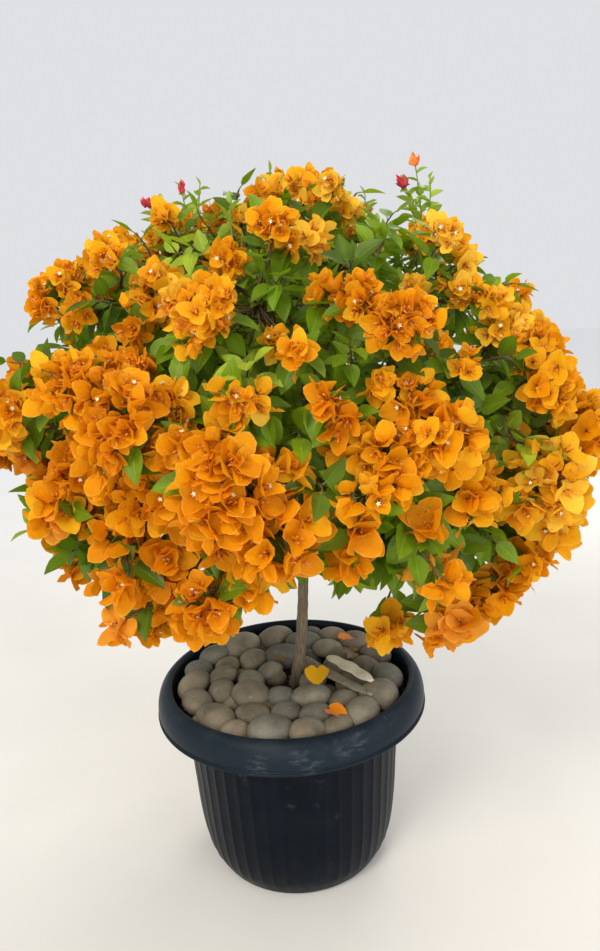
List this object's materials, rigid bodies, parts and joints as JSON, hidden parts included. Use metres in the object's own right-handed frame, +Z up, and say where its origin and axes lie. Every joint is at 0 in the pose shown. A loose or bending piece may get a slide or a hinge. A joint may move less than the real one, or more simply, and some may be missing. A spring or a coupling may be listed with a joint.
{
  "type": "potted bougainvillea",
  "caption": "Bougainvillea grown as a small round-headed tree with orange bracts, in a round plastic pot topped with river pebbles.",
  "frame": {"origin": "centre of the pot's flat underside, on the surface the pot stands on", "axes": "+Z up along the pot's axis, -Y towards the side seen in the picture, +X to the right of that view"},
  "size_m": [0.7618, 0.771, 0.9386],
  "materials": {
    "pot_plastic": "dark blue-grey moulded plastic, satin, lightly dusty and scuffed on the rim",
    "soil": "dark damp earth, stands in for potting soil",
    "pebble_stone": "smooth grey-brown river stone, stands in for stone",
    "bark": "grey-brown fine bark",
    "foliage": "papery orange bracts with mid-green leaves on thin brown twigs"
  },
  "bodies": {
    "root": {"pot": "pot_plastic", "soil": "soil", "pebbles": "pebble_stone", "trunk": "bark", "bough_middle_1": "bark", "bough_middle_2": "bark", "bough_middle_3": "bark", "bough_middle_4": "bark", "bough_middle_5": "bark", "bough_middle_6": "bark", "bough_middle_7": "bark", "bough_middle_8": "bark", "bough_lower_1": "bark", "bough_lower_2": "bark", "bough_lower_3": "bark", "bough_lower_4": "bark", "bough_lower_5": "bark", "bough_lower_6": "bark", "bough_lower_7": "bark", "bough_hanging_1": "bark", "bough_hanging_2": "bark", "bough_hanging_3": "bark", "bough_hanging_4": "bark", "foliage_top_1": "foliage", "foliage_top_2": "foliage", "foliage_top_3": "foliage", "foliage_upper_1": "foliage", "foliage_upper_2": "foliage", "foliage_upper_3": "foliage", "foliage_upper_4": "foliage", "foliage_upper_5": "foliage", "foliage_upper_6": "foliage", "foliage_upper_7": "foliage", "foliage_middle_1": "foliage", "foliage_middle_2": "foliage", "foliage_middle_3": "foliage", "foliage_middle_4": "foliage", "foliage_middle_5": "foliage", "foliage_middle_6": "foliage", "foliage_middle_7": "foliage", "foliage_middle_8": "foliage", "foliage_lower_1": "foliage", "foliage_lower_2": "foliage", "foliage_lower_3": "foliage", "foliage_lower_4": "foliage", "foliage_lower_5": "foliage", "foliage_lower_6": "foliage", "foliage_lower_7": "foliage", "foliage_hanging_1": "foliage", "foliage_hanging_2": "foliage", "foliage_hanging_3": "foliage", "foliage_hanging_4": "foliage"}
  },
  "joints": []
}
